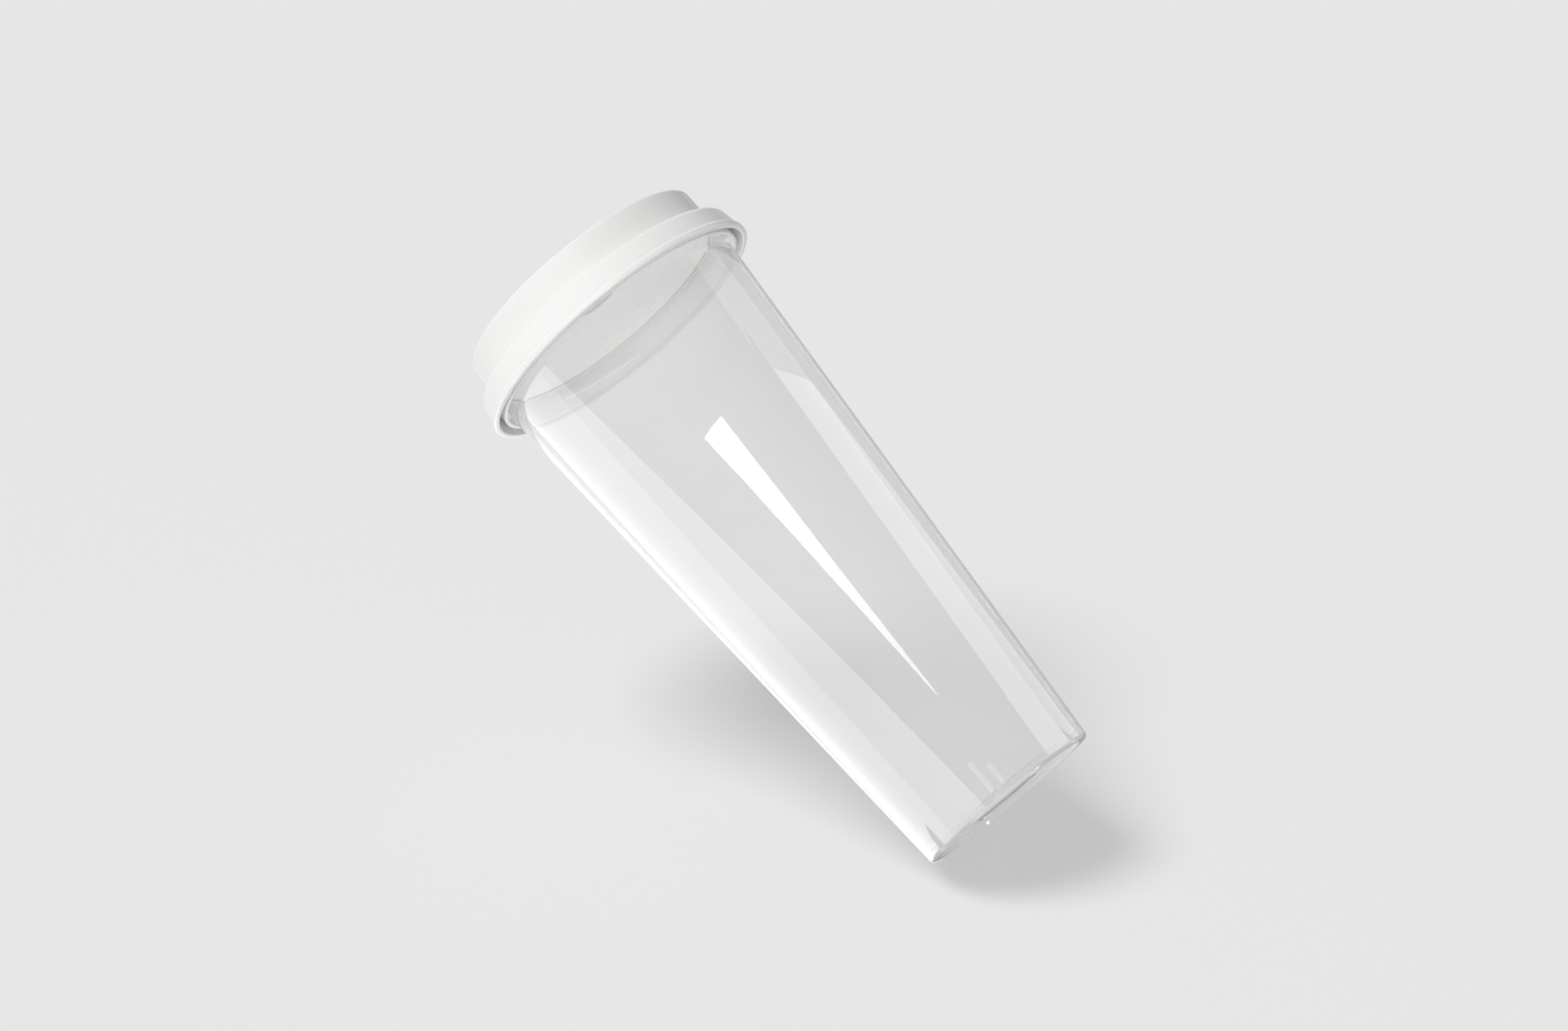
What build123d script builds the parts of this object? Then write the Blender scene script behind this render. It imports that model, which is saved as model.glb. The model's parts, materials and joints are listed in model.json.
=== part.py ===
"""Protein shaker bottle: a clear tapered cup with a white screw-on lid.

The lid carries a drinking spout with a hinged flip cap, which sit in the recess
inside its upright drum. Millimetres, +Z up, origin at the centre of the foot ring.
The spout faces -Y. The lid's pieces are drawn with it towards +Y and then turned.
"""

from build123d import *

import os
from math import cos, pi, radians, sin

# Cup
CUP_BASE_R = 30.35          # outer radius of the wall carried down to the foot plane
CUP_TAPER = 0.0702          # growth of the outer radius per millimetre of height
CUP_WALL = 1.6
CUP_FLOOR = 1.8
CUP_CORNER_R = 1.4          # rounding between the wall and the foot ring
FOOT_RING_W = 3.4           # width of the ring that touches the table
FOOT_RECESS = 1.6           # how far the floor stands above the table
FOOT_RECESS_R = 0.8         # rounding between the ring's inner side and the floor
FOOT_EDGE_R = 0.5           # inner edge of the foot ring
FLOOR_FILLET_R = 1.8        # inside corner between floor and wall
DRAIN_NOTCH_W = 2.2
DRAIN_NOTCH_H = 0.8
DRAIN_NOTCH_ANGLE = 112.5   # direction of the first notch; the second is opposite

# Moulded mixing fins on the cup floor: (centre x, thickness, height)
MIXING_FINS = [(-2.4, 1.7, 13.0), (1.9, 1.5, 9.3)]
FIN_DEPTH = 3.0
FIN_PAD_H = 0.8
FIN_SINK = CUP_FLOOR / 4    # how far fins and pad reach into the floor

# Neck of the cup
NECK_H = 7.8                # height of the cylindrical neck, up to the rim
NECK_STEP = 0.5             # how far the neck steps in from the tapered wall
NECK_WALL = 1.7
NECK_BELOW_SKIRT = 0.7      # the neck begins this far below the skirt's lower edge
NECK_TRANSITION_H = 2.0     # height over which the wall inside slopes in to the neck
NECK_TRANSITION_R = 0.6
RIM_EDGE_R = 0.5

# Lid
SKIRT_BOTTOM_Z = 188.3      # height of the skirt's lower edge with the lid closed
SKIRT_OUT = 6.98            # how far the skirt's lower edge stands out from the neck
SKIRT_WALL = 1.6
LIP_H = 2.6                 # bead along the lower edge of the skirt
LIP_PROUD = 0.7
LIP_OUTER_R = 0.6           # roundings of the bead: outer, inner and upper edges
LIP_INNER_R = 0.4
LIP_UPPER_R = 0.5
SKIRT_LEAN = 1.3            # how far the skirt leans in from the lip to the shoulder
SKIRT_ROOT_EXTRA = 0.4      # the skirt is this much thicker where it meets the deck
SKIRT_ROOT_R = 0.2
SKIRT_ROOF_T = 1.2          # from the ring gap inside the skirt up to the deck's underside
SHOULDER_EDGE_R = 2.2
DECK_T = 1.9                # plate that closes the cup
DRUM_OUT = 0.48             # how far the drum's foot stands out from the neck
DRUM_H = 11.4               # height of the drum above the deck
DRUM_DRAFT = 0.4
DRUM_WALL = 2.0
DRUM_EDGE_R = 0.96          # outer edge of the drum's mouth
DRUM_INNER_EDGE_R = 0.5
DRUM_FOOT_R = 0.5
RECESS_FLOOR_R = 0.8        # inside corner between the drum and the deck
COLLAR_T = 1.3              # threaded collar inside the skirt
COLLAR_EDGE_R = 0.3
COLLAR_BOTTOM_GAP = 0.5     # the collar ends this far above the skirt's lower edge

# Seal ring between the rim and the deck
SEAL_T = 1.6
SEAL_GROOVE = 0.8           # depth of its groove in the deck
SEAL_CLEAR = 0.25           # radial clearance in the groove
SEAL_INNER_LAP = 0.3        # how far the ring reaches in past the neck's inner wall
SEAL_EDGE_R = 0.25

# Four-start screw thread
THREAD_STARTS = 4
THREAD_LEAD = 16.0          # rise for one whole turn
THREAD_ARC = 40.0           # degrees that each lug spans
THREAD_DEPTH = 1.3
THREAD_ROOT_W = 1.6
THREAD_CREST_W = 0.8
LID_THREAD_ROOT_W = 1.4
LID_THREAD_CREST_W = 0.7
THREAD_RADIAL_CLEAR = 0.4
THREAD_AXIAL_CLEAR = 0.25
THREAD_EMBED = 0.6          # how far a lug's root goes into the wall that carries it
THREAD_BELOW_RIM = 3.3      # from the rim down to the lower end of a cup lug's middle line

# Spout
SPOUT_FROM_DRUM = 20.5      # from the drum's inner wall to the middle of the spout
SPOUT_BORE_R = 7.8
SPOUT_TOP_R = 9.45
SPOUT_FOOT_R = 10.1
SPOUT_H = 9.6
SPOUT_LIP_R = 0.6
SPOUT_FOOT_H = 1.0          # straight foot of the spout above the deck

# Flip cap
CAP_CAVITY_CLEAR = 0.85     # around the top of the spout, for the swing of the cap
CAP_WALL = 1.6
CAP_TOP_T = 2.0
CAP_OVERLAP = 2.5           # how far the cap reaches down past the spout's mouth
CAP_EDGE_R = 1.0
CAP_SKIRT_R = 0.4           # lower edge of the cap's side
CAP_ARM_W = 13.0
ARM_HEEL = (2.4, 1.6)       # behind and above the hinge, where the arm leaves the hub
ARM_KNEE = (1.6, 0.8)       # in front of the hinge and below the cap's plate
ARM_TOP = 4.4               # from the hinge forward to where the arm is level with the cap
ARM_TOE = (2.8, 0.6)        # in front of and below the hinge
ARM_REACH = 6.0             # the arm ends this far short of the spout's middle
TAB_W = 12.0
TAB_L = 4.4
TAB_T = 1.8
TAB_RISE = 0.4              # above the cap's lower edge
JOIN_LAP = 1.0              # how far parts of one moulding reach into each other
PLUG_T = 1.6                # disc of the spout seal
PLUG_H = 3.0                # part of the spout seal that enters the bore
PLUG_TOP_CLEAR = 0.5
PLUG_TIP_CLEAR = 2.2
PLUG_DISC_CLEAR = 0.5
PLUG_TIP_R = 0.6
PLUG_DISC_R = 0.2

# Hinge
HINGE_FROM_SPOUT = 16.5
HINGE_RISE = 4.9            # height of the pin above the deck
PIN_R = 1.5
PIN_RUN_CLEAR = 0.06
PIN_SEAT_CLEAR = 0.02
PIN_PROUD = 0.2
PIN_CHAMFER = 0.3
HUB_R = 3.1
HUB_SIDE_CLEAR = 0.5
EAR_R = 3.4
EAR_T = 3.0

OVERCUT = 1.0               # how far a cutting tool runs past what it cuts

# Heights and radii that follow
neck_foot_z = SKIRT_BOTTOM_Z - NECK_BELOW_SKIRT
rim_z = neck_foot_z + NECK_H
neck_r = CUP_BASE_R + CUP_TAPER * neck_foot_z - NECK_STEP
neck_inner_r = neck_r - NECK_WALL
floor_z = FOOT_RECESS + CUP_FLOOR
seal_top_z = rim_z + SEAL_T
deck_under_z = seal_top_z - SEAL_GROOVE
deck_z = deck_under_z + DECK_T
drum_top_z = deck_z + DRUM_H
drum_r = neck_r + DRUM_OUT
lip_r = neck_r + SKIRT_OUT
spout_y = drum_r - DRUM_WALL - SPOUT_FROM_DRUM
hinge_y = spout_y - HINGE_FROM_SPOUT
collar_r = neck_r + THREAD_DEPTH + THREAD_RADIAL_CLEAR
collar_bottom_z = SKIRT_BOTTOM_Z + COLLAR_BOTTOM_GAP
spout_top_z = deck_z + SPOUT_H
cap_under_z = spout_top_z + PLUG_T
cap_top_z = cap_under_z + CAP_TOP_T
cap_bottom_z = spout_top_z - CAP_OVERLAP
cap_cavity_r = SPOUT_TOP_R + CAP_CAVITY_CLEAR
cap_r = cap_cavity_r + CAP_WALL
hinge_z = deck_z + HINGE_RISE
ear_inner_x = CAP_ARM_W / 2 + HUB_SIDE_CLEAR


def turned(corners):
    """Solid of revolution about Z from (radius, height, corner rounding) triples."""
    points = [(r, z) for r, z, _ in corners]
    roundings = [rounding for _, _, rounding in corners]
    outline = FilletPolyline(*points, radius=roundings, close=True)
    face = make_face(outline.edges())
    return revolve(Plane.XZ * face, Axis.Z, 360)


def standing_disc(radius, low_z, high_z, centre_y=0.0):
    """Upright cylinder between two heights."""
    disc = Cylinder(radius, high_z - low_z, align=(Align.CENTER, Align.CENTER, Align.MIN))
    return Pos(0, centre_y, low_z) * disc


def facing_front(piece):
    """Turns a piece of the lid, drawn with the spout towards +Y, so that it faces -Y."""
    return Rot(0, 0, 180) * piece


def wall_r(z):
    """Outer radius of the tapered wall at a height."""
    return CUP_BASE_R + CUP_TAPER * z


def thread_lugs(inner_r, outer_r, inner_w, outer_w, low_z):
    """Four-start thread as helical lugs, each of one trapezoid section."""
    path_r = (inner_r + outer_r) / 2
    rise = THREAD_LEAD * THREAD_ARC / 360
    path = Pos(0, 0, low_z) * Helix(THREAD_LEAD, rise, path_r)
    section = make_face(Polyline(
        (inner_r, low_z - inner_w / 2), (outer_r, low_z - outer_w / 2),
        (outer_r, low_z + outer_w / 2), (inner_r, low_z + inner_w / 2), close=True).edges())
    lug = sweep(Plane.XZ * section, path=path, is_frenet=True)
    return [Rot(0, 0, start * 360 / THREAD_STARTS) * lug for start in range(THREAD_STARTS)]


def make_cup():
    """Clear cup: foot ring, tapered wall, neck with the outside thread."""
    ring_inner_r = CUP_BASE_R - FOOT_RING_W
    cup = turned([
        (0, FOOT_RECESS, 0),
        (ring_inner_r, FOOT_RECESS, FOOT_RECESS_R),
        (ring_inner_r, 0, FOOT_EDGE_R),
        (CUP_BASE_R, 0, CUP_CORNER_R),
        (wall_r(neck_foot_z), neck_foot_z, 0),
        (neck_r, neck_foot_z, 0),
        (neck_r, rim_z, RIM_EDGE_R),
        (neck_inner_r, rim_z, RIM_EDGE_R),
        (neck_inner_r, neck_foot_z, NECK_TRANSITION_R),
        (wall_r(neck_foot_z) - CUP_WALL, neck_foot_z - NECK_TRANSITION_H, NECK_TRANSITION_R),
        (wall_r(floor_z) - CUP_WALL, floor_z, FLOOR_FILLET_R),
        (0, floor_z, 0),
    ])
    crest_r = neck_r + THREAD_DEPTH
    root_r = neck_r - THREAD_EMBED
    slope = (THREAD_ROOT_W - THREAD_CREST_W) / THREAD_DEPTH
    root_w = THREAD_ROOT_W + slope * THREAD_EMBED
    cup += thread_lugs(root_r, crest_r, root_w, THREAD_CREST_W, rim_z - THREAD_BELOW_RIM)
    notch = Box(DRAIN_NOTCH_W, 4 * FOOT_RING_W, 2 * DRAIN_NOTCH_H)
    for angle in (DRAIN_NOTCH_ANGLE, DRAIN_NOTCH_ANGLE + 180):
        across = CUP_BASE_R - FOOT_RING_W / 2
        cup -= Pos(across * cos(radians(angle)), across * sin(radians(angle)), 0) \
            * Rot(0, 0, angle - 90) * notch
    bottom_up = (Align.CENTER, Align.CENTER, Align.MIN)
    left = min(x - t / 2 for x, t, _ in MIXING_FINS)
    right = max(x + t / 2 for x, t, _ in MIXING_FINS)
    cup += Pos((left + right) / 2, 0, floor_z - FIN_SINK) \
        * Box(right - left, FIN_DEPTH, FIN_PAD_H + FIN_SINK, align=bottom_up)
    for x, thickness, height in MIXING_FINS:
        cup += Pos(x, 0, floor_z - FIN_SINK) \
            * Box(thickness, FIN_DEPTH, height + FIN_SINK, align=bottom_up)
    return cup


def make_lid():
    """White lid: flared skirt, threaded collar, deck, drum, spout and hinge ears."""
    lip_top_z = SKIRT_BOTTOM_Z + LIP_H
    skirt_r = lip_r - LIP_PROUD
    shoulder_r = skirt_r - SKIRT_LEAN
    collar_outer_r = collar_r + COLLAR_T
    gap_top_z = deck_under_z - SKIRT_ROOF_T
    groove_inner_r = neck_inner_r - SEAL_INNER_LAP - SEAL_CLEAR
    lid = turned([
        (0, deck_under_z, 0),
        (groove_inner_r, deck_under_z, 0),
        (groove_inner_r, seal_top_z, 0),
        (collar_r, seal_top_z, 0),
        (collar_r, collar_bottom_z, COLLAR_EDGE_R),
        (collar_outer_r, collar_bottom_z, COLLAR_EDGE_R),
        (collar_outer_r, gap_top_z, COLLAR_EDGE_R),
        (shoulder_r - SKIRT_WALL + SKIRT_ROOT_EXTRA, gap_top_z, SKIRT_ROOT_R),
        (skirt_r - SKIRT_WALL, lip_top_z, 0),
        (lip_r - SKIRT_WALL, SKIRT_BOTTOM_Z, LIP_INNER_R),
        (lip_r, SKIRT_BOTTOM_Z, LIP_OUTER_R),
        (lip_r, lip_top_z - LIP_PROUD, LIP_UPPER_R),
        (skirt_r, lip_top_z, LIP_UPPER_R),
        (shoulder_r, deck_z, SHOULDER_EDGE_R),
        (drum_r, deck_z, DRUM_FOOT_R),
        (drum_r - DRUM_DRAFT, drum_top_z, DRUM_EDGE_R),
        (drum_r - DRUM_WALL, drum_top_z, DRUM_INNER_EDGE_R),
        (drum_r - DRUM_WALL, deck_z, RECESS_FLOOR_R),
        (0, deck_z, 0),
    ])
    slope = (LID_THREAD_ROOT_W - LID_THREAD_CREST_W) / THREAD_DEPTH
    root_w = LID_THREAD_ROOT_W + slope * THREAD_EMBED
    cup_slope = (THREAD_ROOT_W - THREAD_CREST_W) / THREAD_DEPTH
    cup_half_w = (THREAD_ROOT_W - cup_slope * THREAD_RADIAL_CLEAR) / 2
    drop = cup_half_w + LID_THREAD_CREST_W / 2 + THREAD_AXIAL_CLEAR
    lid += thread_lugs(neck_r + THREAD_RADIAL_CLEAR, collar_r + THREAD_EMBED,
                       LID_THREAD_CREST_W, root_w, rim_z - THREAD_BELOW_RIM - drop)
    spout_foot_z = deck_under_z + DECK_T / 3
    spout = turned([
        (0, spout_foot_z, 0),
        (SPOUT_FOOT_R, spout_foot_z, 0),
        (SPOUT_FOOT_R, deck_z + SPOUT_FOOT_H, 0),
        (SPOUT_TOP_R, spout_top_z, SPOUT_LIP_R),
        (0, spout_top_z, 0),
    ])
    lid += Pos(0, spout_y, 0) * spout
    ear_foot_z = deck_z - DECK_T / 3
    for side in (-1, 1):
        middle_x = side * (ear_inner_x + EAR_T / 2)
        lid += Pos(middle_x, hinge_y, (ear_foot_z + hinge_z) / 2) \
            * Box(EAR_T, 2 * EAR_R, hinge_z - ear_foot_z)
        lid += Pos(middle_x, hinge_y, hinge_z) * Rot(0, 90, 0) * Cylinder(EAR_R, EAR_T)
    lid -= standing_disc(SPOUT_BORE_R, deck_under_z - OVERCUT, spout_top_z + OVERCUT, spout_y)
    pin_seat = Cylinder(PIN_R + PIN_SEAT_CLEAR, 4 * ear_inner_x)
    lid -= Pos(0, hinge_y, hinge_z) * Rot(0, 90, 0) * pin_seat
    return facing_front(lid)


def make_lid_seal():
    """Silicone ring on the rim of the cup, held in the groove of the deck."""
    inner_r = neck_inner_r - SEAL_INNER_LAP
    outer_r = collar_r - SEAL_CLEAR
    return turned([
        (inner_r, rim_z, SEAL_EDGE_R), (outer_r, rim_z, SEAL_EDGE_R),
        (outer_r, seal_top_z, SEAL_EDGE_R), (inner_r, seal_top_z, SEAL_EDGE_R),
    ])


def make_flip_cap():
    """Cap over the spout, with its arm, hinge hub and thumb tab."""
    cap = turned([
        (0, cap_bottom_z, 0), (cap_r, cap_bottom_z, CAP_SKIRT_R),
        (cap_r, cap_top_z, CAP_EDGE_R), (0, cap_top_z, 0),
    ])
    cap = Pos(0, spout_y, 0) * cap
    arm_end_y = spout_y - ARM_REACH
    arm = make_face(Polyline(
        (hinge_y - ARM_HEEL[0], hinge_z + ARM_HEEL[1]),
        (hinge_y + ARM_KNEE[0], cap_under_z - ARM_KNEE[1]),
        (hinge_y + ARM_TOP, cap_top_z), (arm_end_y, cap_top_z),
        (arm_end_y, cap_bottom_z), (spout_y - cap_r + JOIN_LAP, cap_bottom_z),
        (hinge_y + ARM_TOE[0], hinge_z - ARM_TOE[1]), close=True).edges())
    cap += extrude(Plane.YZ * arm, CAP_ARM_W / 2, both=True)
    cap += Pos(0, hinge_y, hinge_z) * Rot(0, 90, 0) * Cylinder(HUB_R, CAP_ARM_W)
    tab_from = spout_y + cap_r - JOIN_LAP
    tab = Box(TAB_W, TAB_L, TAB_T, align=(Align.CENTER, Align.MIN, Align.MIN))
    tab = fillet(tab.edges().filter_by(Axis.Z).group_by(Axis.Y)[-1], TAB_L / 3)
    cap += Pos(0, tab_from, cap_bottom_z + TAB_RISE) * tab
    cap -= standing_disc(cap_cavity_r, cap_bottom_z - OVERCUT, cap_under_z, spout_y)
    pin_hole = Cylinder(PIN_R + PIN_RUN_CLEAR, 2 * CAP_ARM_W)
    cap -= Pos(0, hinge_y, hinge_z) * Rot(0, 90, 0) * pin_hole
    return facing_front(cap)


def make_spout_seal():
    """Silicone plug under the flip cap: a disc on the spout's lip and a tapered tip."""
    disc_r = cap_cavity_r - PLUG_DISC_CLEAR
    plug = turned([
        (0, spout_top_z - PLUG_H, 0),
        (SPOUT_BORE_R - PLUG_TIP_CLEAR, spout_top_z - PLUG_H, PLUG_TIP_R),
        (SPOUT_BORE_R - PLUG_TOP_CLEAR, spout_top_z, 0),
        (disc_r, spout_top_z, PLUG_DISC_R),
        (disc_r, cap_under_z, PLUG_DISC_R),
        (0, cap_under_z, 0),
    ])
    return facing_front(Pos(0, spout_y, 0) * plug)


def make_hinge_pin():
    """Pin through both ears and the hub of the flip cap."""
    length = 2 * (ear_inner_x + EAR_T + PIN_PROUD)
    pin = Pos(0, hinge_y, hinge_z) * Rot(0, 90, 0) * Cylinder(PIN_R, length)
    return facing_front(chamfer(pin.edges().filter_by(GeomType.CIRCLE), PIN_CHAMFER))


NODES = {
    "cup": make_cup,
    "lid": make_lid,
    "lid_seal": make_lid_seal,
    "flip_cap": make_flip_cap,
    "spout_seal": make_spout_seal,
    "hinge_pin": make_hinge_pin,
}

os.makedirs("parts", exist_ok=True)
for node, make in NODES.items():
    export_step(make(), f"parts/{node}.step")

floor_r = wall_r(floor_z) - CUP_WALL
inside_mm3 = pi / 3 * (rim_z - floor_z) * (floor_r ** 2 + floor_r * neck_inner_r + neck_inner_r ** 2)
print(f"rim at {rim_z:.2f}, neck radius {neck_r:.2f}, skirt radius {lip_r:.2f}, deck at {deck_z:.2f}, "
      f"hinge at {hinge_z:.2f}, cap top at {cap_top_z:.2f}, about {inside_mm3 / 1000:.0f} ml to the brim")
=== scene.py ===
"""Protein shaker bottle: a clear tapered cup with a white screw-on lid.

The lid's recess holds a drinking spout with a hinged flip cap. Sizes in the panels are in
millimetres on the object; meshes are in metres.
"""

import json
from math import atan2, ceil, cos, pi, radians, sin, tan

import bmesh
import bpy
from mathutils import Matrix, Vector

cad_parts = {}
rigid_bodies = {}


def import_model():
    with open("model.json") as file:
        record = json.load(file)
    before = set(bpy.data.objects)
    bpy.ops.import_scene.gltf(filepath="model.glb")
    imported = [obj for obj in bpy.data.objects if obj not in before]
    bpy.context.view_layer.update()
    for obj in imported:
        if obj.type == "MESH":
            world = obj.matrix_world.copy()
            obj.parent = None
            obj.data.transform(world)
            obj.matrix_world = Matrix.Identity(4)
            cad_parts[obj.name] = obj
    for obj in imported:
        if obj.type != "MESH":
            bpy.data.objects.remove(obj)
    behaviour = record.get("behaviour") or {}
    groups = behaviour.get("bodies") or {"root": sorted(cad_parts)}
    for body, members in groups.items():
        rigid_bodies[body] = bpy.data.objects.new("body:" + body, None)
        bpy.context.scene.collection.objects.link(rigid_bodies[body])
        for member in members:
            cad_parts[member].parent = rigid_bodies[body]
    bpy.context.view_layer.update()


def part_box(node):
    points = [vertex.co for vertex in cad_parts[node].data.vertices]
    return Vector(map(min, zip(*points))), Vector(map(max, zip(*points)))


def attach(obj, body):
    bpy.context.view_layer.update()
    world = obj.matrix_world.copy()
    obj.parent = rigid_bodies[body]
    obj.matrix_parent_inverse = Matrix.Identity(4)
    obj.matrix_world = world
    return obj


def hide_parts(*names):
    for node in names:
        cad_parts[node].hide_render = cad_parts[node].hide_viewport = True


bl_info = {
    "name": "Shaker Bottle",
    "version": (1, 0, 0),
    "blender": (4, 5, 0),
    "location": "3D View > Sidebar > Shaker",
    "description": "Builds a clear shaker cup, its white screw lid, the flip cap and a soft studio",
    "category": "Add Mesh",
}

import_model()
MM = 0.001


# ---------------------------------------------------------------- sizes from model.glb's parts
# The spout faces -Y. Lid pieces are drawn with it towards +Y, at SPOUT_Y, and then turned.

def top_of(node):
    """Height of a node's highest point, in millimetres."""
    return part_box(node)[1][2] / MM


def bottom_of(node):
    """Height of a node's lowest point, in millimetres."""
    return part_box(node)[0][2] / MM


def middle_of(node, axis):
    """Middle of a node along an axis (1 is Y, 2 is Z), in millimetres."""
    low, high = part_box(node)
    return (low[axis] + high[axis]) / 2 / MM


RIM_Z = top_of("cup")
SEAL_TOP_Z = top_of("lid_seal")
SKIRT_BOTTOM_Z = bottom_of("lid")
CAP_TOP_Z = top_of("flip_cap")
CAP_BOTTOM_Z = bottom_of("flip_cap")
PLUG_TOP_Z = top_of("spout_seal")
PLUG_BOTTOM_Z = bottom_of("spout_seal")
LIP_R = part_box("lid")[1][0] / MM
HINGE_Y = -middle_of("hinge_pin", 1)
HINGE_Z = middle_of("hinge_pin", 2)
SPOUT_Y = -middle_of("spout_seal", 1)

# Sizes that the panels leave out, in millimetres and degrees.
CUP_LUG_ROOT, CUP_LUG_CREST = 1.97, 0.8  # widths of the cup's thread lugs
LID_LUG_ROOT, LID_LUG_CREST = 1.72, 0.7  # widths of the lid's thread lugs
SEAL_INSET = 0.3  # how far the seal ring reaches in past the neck's bore
SEAL_PLAY = 0.25  # between the seal ring and its groove
PLUG_DEPTH = 3.0  # how far the plug reaches into the spout
PLUG_DISH_DEPTH = 2.6  # the same in the middle, where its end is dished
EAR_GAP = 0.5  # between the cap's hub and an ear
PIN_SEAT_R = 1.52  # hole in an ear, which holds the pin
HUB_HOLE_R = 1.56  # hole in the hub, which turns on the pin
NOTCH_TURN = 112.5  # from +X round to a drain notch
SINK = 0.6  # how far a lug or an ear is sunk into what it's joined to
PAST = 2.0  # how far a cutter reaches past the faces that it opens
# Moulded mixing fins on the cup floor: (middle x, thickness, height)
MIXING_FINS = ((-2.4, 1.7, 13.0), (1.9, 1.5, 9.3))


def length(name, default, description):
    """A size in millimetres, as a panel property."""
    return bpy.props.FloatProperty(name=name, description=description, default=default, min=0.0)


def number(name, default, description):
    """A plain number, such as an angle in degrees or a brightness, as a panel property."""
    return bpy.props.FloatProperty(name=name, description=description, default=default)


def how_many(name, default, description):
    """A number of like things, as a panel property."""
    return bpy.props.IntProperty(name=name, description=description, default=default, min=1)


def colour(name, default, description):
    """A finish's colour as an sRGB hex value, such as F2F2F0."""
    return bpy.props.StringProperty(name=name, description=description, default=default)


class CupSizes(bpy.types.PropertyGroup):
    """Sizes of the clear cup, in millimetres."""

    base_r: length("Base radius", 30.35, "Outer radius of the wall at the foot plane")
    taper: length("Taper", 0.0702, "Growth of the radius per millimetre of height")
    wall: length("Wall", 1.6, "Thickness of the tapered wall")
    floor: length("Floor", 1.8, "Thickness of the floor")
    floor_r: length("Floor corner", 1.8, "Inside rounding between floor and wall")
    corner_r: length("Lower corner", 1.4, "Rounding between wall and foot ring")
    ring_w: length("Foot ring", 3.4, "Width of the ring that it stands on")
    recess: length("Foot recess", 1.6, "Height of the floor above the table")
    neck_h: length("Neck height", 7.8, "Height of the cylindrical neck")
    neck_step: length("Neck step", 0.5, "How far the neck steps in")
    neck_wall: length("Neck wall", 1.7, "Thickness of the neck")
    notch_w: length("Drain notch width", 2.2, "Width of a notch in the foot ring")
    notch_h: length("Drain notch height", 0.8, "Height of a notch in the foot ring")
    fin_depth: length("Fin depth", 3.0, "Depth of a mixing fin from front to back")


class ThreadSizes(bpy.types.PropertyGroup):
    """Sizes of the four-start screw thread, in millimetres."""

    lead: length("Lead", 16.0, "Rise for one whole turn")
    arc: number("Lug arc", 40.0, "Angle that each lug spans, in degrees")
    starts: how_many("Starts", 4, "Number of lugs round the neck")
    depth: length("Depth", 1.3, "How far a lug stands out")
    below_rim: length("Below rim", 3.3, "From the rim to the lower end of a cup lug")
    play: length("Radial play", 0.4, "Clearance between crest and wall")
    drop: length("Lid drop", 1.28, "How far the lid's lugs lie below the cup's")


class LidSizes(bpy.types.PropertyGroup):
    """Sizes of the white lid, in millimetres."""

    wall: length("Skirt wall", 1.6, "Thickness of the flared skirt")
    lip_h: length("Lip height", 2.6, "Height of the bead along the skirt's edge")
    lip_proud: length("Lip", 0.7, "How far the bead stands out")
    lean: length("Skirt lean", 1.3, "How far the skirt leans in on its way up")
    shoulder_r: length("Shoulder rounding", 2.2, "Rounding of the shoulder's edge")
    deck: length("Deck", 1.9, "Thickness of the plate that closes the cup")
    groove: length("Seal groove", 0.8, "Depth of the groove for the seal ring")
    drum_h: length("Drum height", 11.4, "Height of the drum above the deck")
    drum_wall: length("Drum wall", 2.0, "Thickness of the drum")
    drum_draft: length("Drum draft", 0.4, "How far the drum leans in")
    drum_out: length("Drum stand-out", 0.48, "How far the drum's foot stands out from the neck")
    collar: length("Collar", 1.3, "Thickness of the threaded collar")
    collar_gap: length("Collar gap", 0.5, "From the skirt's lower edge up to the collar")
    spout_bore: length("Spout bore", 7.8, "Radius of the drinking hole")
    spout_top: length("Spout mouth", 9.45, "Outer radius of the spout at its mouth")
    spout_h: length("Spout height", 9.6, "Height of the spout above the deck")
    spout_foot: length("Spout foot", 10.1, "Outer radius of the spout at the deck")
    ear_r: length("Ear radius", 3.4, "Radius of a hinge ear")
    ear_t: length("Ear thickness", 3.0, "Thickness of a hinge ear")


class CapSizes(bpy.types.PropertyGroup):
    """Sizes of the flip cap, in millimetres."""

    cavity_r: length("Cavity radius", 10.3, "Radius of the hollow over the spout")
    wall: length("Cap wall", 1.6, "Thickness of the cap's side")
    top: length("Cap top", 2.0, "Thickness of the cap's plate")
    edge_r: length("Cap edge", 1.0, "Rounding of the cap's upper edge")
    arm_w: length("Arm width", 13.0, "Width of the hinge arm")
    hub_r: length("Hub radius", 3.1, "Radius of the hub on the pin")
    tab_w: length("Tab width", 12.0, "Width of the thumb tab")
    tab_l: length("Tab length", 3.4, "How far the thumb tab stands out")
    tab_t: length("Tab thickness", 1.8, "Thickness of the thumb tab")
    grip_count: how_many("Grip ribs", 4, "Number of ribs on the thumb tab")
    grip_step: length("Grip spacing", 0.7, "Distance between the ribs on the thumb tab")
    grip_r: length("Grip rib radius", 0.22, "Radius of each rib's rounded top")
    grip_w: length("Grip width", 8.6, "Length of the ribs, across the thumb tab")


class FinishColours(bpy.types.PropertyGroup):
    """Colours of the finishes, as sRGB hex values."""

    clear: colour("Clear cup", "FCFCFC", "Tint of the clear plastic")
    haze: colour("Cup haze", "F4F4F4", "Colour of the clear plastic's faint milkiness")
    shadow: colour("Cup shadow", "D8D8D8", "What each face of the clear plastic lets lamps pass")
    white: colour("White lid", "F5F5F4", "Colour of the lid and the flip cap")
    silicone: colour("Silicone", "E3E3E0", "Colour of the two seals")
    steel: colour("Steel pin", "B9BABC", "Colour of the hinge pin")
    backdrop: colour("Backdrop", "E6E6E6", "Colour of the floor and the backdrop")


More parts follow.
